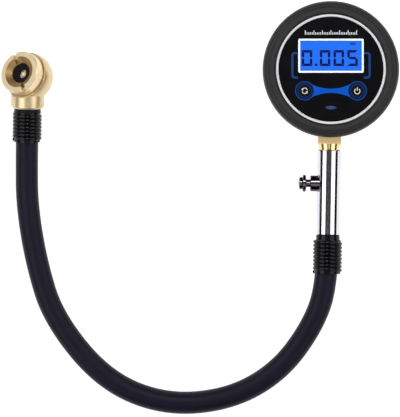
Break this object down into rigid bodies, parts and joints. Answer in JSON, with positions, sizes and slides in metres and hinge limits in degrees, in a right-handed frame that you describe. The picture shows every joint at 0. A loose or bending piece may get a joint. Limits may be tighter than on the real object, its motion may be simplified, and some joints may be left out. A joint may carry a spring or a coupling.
{
  "type": "digital tyre pressure gauge",
  "caption": "Digital tyre pressure gauge with a rubber boot, chrome stem, press bleed valve, rubber hose and brass ball chuck, lying on its back",
  "frame": {"origin": "on the table, at the middle of the gauge head's flat back", "axes": "+X runs right across the display, away from the bleed valve; +Y runs up the display, away from the stem; +Z comes out of the display, up from the table"},
  "size_m": [0.2193, 0.2278, 0.036],
  "materials": {
    "boot_rubber": "matte moulded rubber",
    "case_plastic": "fine moulded texture",
    "bezel_silver": "satin silver plating",
    "face_black": "smooth black",
    "guide_blue": "translucent blue",
    "print_blue": "screen print",
    "frame_white": "moulded white",
    "display_blue": "lit blue display",
    "segment_navy": "dark segments",
    "board_green": "solder mask",
    "key_black": "soft touch",
    "steel_screw": "zinc plated",
    "cell_jacket": "printed jacket",
    "contact_nickel": "nickel plated",
    "brass": "turned and polished",
    "sensor_steel": "stamped can",
    "seal_rubber": "smooth rubber",
    "chrome": "mirror chrome",
    "spring_steel": "spring wire",
    "sleeve_rubber": "moulded ribs",
    "hose_rubber": "smooth hose cover"
  },
  "bodies": {
    "gauge": {"rubber_boot": "boot_rubber", "rear_case": "case_plastic", "front_case": "case_plastic", "bezel_ring": "bezel_silver", "face_panel": "face_black", "light_guide": "guide_blue", "face_brackets": "print_blue", "display_frame": "frame_white", "display_glass": "display_blue", "display_segments": "segment_navy", "display_light_box": "frame_white", "main_board": "board_green", "key_switches": "case_plastic", "driver_chip": "case_plastic", "status_lamp": "frame_white", "status_lens": "guide_blue", "battery_door": "case_plastic", "door_screw": "steel_screw", "case_screws": "steel_screw", "upper_cell": "cell_jacket", "lower_cell": "cell_jacket", "battery_contacts": "contact_nickel", "gauge_port": "brass", "port_nut": "brass", "pressure_sensor": "sensor_steel", "stem_o_ring": "seal_rubber", "stem_tube": "chrome", "bleed_boss": "chrome", "bleed_spring": "spring_steel", "gauge_barb": "brass", "gauge_strain_relief": "sleeve_rubber", "hose": "hose_rubber", "chuck_strain_relief": "sleeve_rubber", "chuck_barb": "brass", "chuck_washer": "seal_rubber", "chuck_body": "brass", "chuck_ring": "brass", "chuck_gasket": "seal_rubber", "depressor_pin": "brass"},
    "bleed_button": {"bleed_button": "chrome", "bleed_poppet": "brass", "bleed_seal": "seal_rubber"},
    "mode_key": {"mode_key": "key_black"},
    "power_key": {"power_key": "key_black"}
  },
  "joints": [
    {"name": "bleed_press", "type": "slide", "parent": "gauge", "child": "bleed_button", "axis": [0.9998, -0.0175, 0], "range_m": [0, 0.0018], "stiffness_N_per_m": 900, "springref_m": -0.002, "deforming": ["bleed_spring"]},
    {"name": "mode_key_press", "type": "slide", "parent": "gauge", "child": "mode_key", "axis": [0, 0, -1], "range_m": [0, 0.0005], "stiffness_N_per_m": 2500, "springref_m": -0.0004},
    {"name": "power_key_press", "type": "slide", "parent": "gauge", "child": "power_key", "axis": [0, 0, -1], "range_m": [0, 0.0005], "stiffness_N_per_m": 2500, "springref_m": -0.0004}
  ]
}
